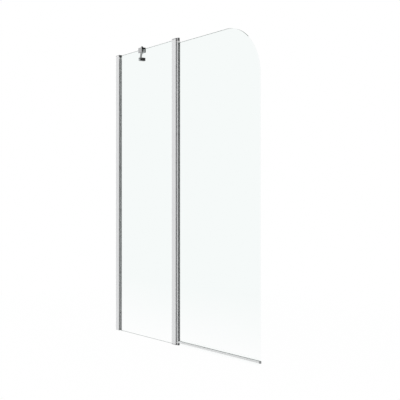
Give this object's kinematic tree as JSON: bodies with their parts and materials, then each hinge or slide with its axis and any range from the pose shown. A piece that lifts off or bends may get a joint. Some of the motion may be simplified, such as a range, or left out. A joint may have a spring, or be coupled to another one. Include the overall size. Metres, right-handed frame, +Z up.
{
  "type": "bath screen",
  "caption": "Two-panel glass bath screen: fixed pane in a wall profile with a brace, and a door pane with a rounded top corner that swings on a hinge post.",
  "frame": {"origin": "on the wall, at the back of the wall profile, in the middle of the glass, at the level of the bath rim", "axes": "+X from the wall along the screen to the door's free end, +Y into the bath, +Z up"},
  "size_m": [1.13, 0.1705, 1.4115],
  "materials": {
    "polished_aluminium": "bright polished anodised extrusion",
    "chrome": "mirror chrome plate",
    "stainless": "plain stainless steel",
    "clear_glass": "clear toughened glass, 6 mm, polished edges",
    "clear_pvc": "clear soft PVC",
    "grey_pvc": "grey rigid PVC, satin",
    "dark_grey_plastic": "moulded grey plastic",
    "white_nylon": "moulded white nylon",
    "grey_rubber": "soft grey glazing gasket"
  },
  "bodies": {
    "fixed_side": {"wall_channel": "polished_aluminium", "wall_glazing_profile": "polished_aluminium", "wall_glazing_gasket": "grey_rubber", "profile_screws": "stainless", "screw_cover_caps": "chrome", "wall_top_cap": "chrome", "wall_top_plug": "white_nylon", "fixed_glass": "clear_glass", "hinge_post": "polished_aluminium", "post_glazing_gaskets": "grey_rubber", "post_lip_seal": "grey_rubber", "hinge_top_cap": "chrome", "hinge_bottom_cap": "chrome", "hinge_cap_screws": "stainless", "top_pivot_pin": "stainless", "bottom_pivot_pin": "stainless", "clamp_body": "chrome", "clamp_liner": "clear_pvc", "clamp_pressure_plate": "stainless", "clamp_grub_screws": "stainless", "clamp_swivel_pin": "chrome"},
    "door": {"door_profile": "polished_aluminium", "door_glazing_gasket": "grey_rubber", "door_glass": "clear_glass", "door_seal_rail": "grey_pvc", "door_seal_clip": "clear_pvc", "door_seal_fins": "clear_pvc", "seal_end_cap": "dark_grey_plastic", "top_pivot_bush": "white_nylon", "bottom_pivot_bush": "white_nylon"},
    "brace": {"brace_bar": "chrome"},
    "wall_bracket": {"bracket_body": "chrome", "bracket_swivel_pin": "chrome"}
  },
  "joints": [
    {"name": "door_pivot", "type": "hinge", "parent": "fixed_side", "child": "door", "pos_m": [0.5528, 0, 0.7], "axis": [0, 0, 1], "range_deg": [-90, 90]},
    {"name": "brace_swivel", "type": "hinge", "parent": "fixed_side", "child": "brace", "pos_m": [0.238, 0, 1.39965], "axis": [0, 0, 1], "range_deg": [-75, 15]},
    {"name": "bracket_swivel", "type": "hinge", "parent": "brace", "child": "wall_bracket", "pos_m": [0.009, 0.133, 1.39965], "axis": [0, 0, 1], "range_deg": [-45, 45]}
  ]
}
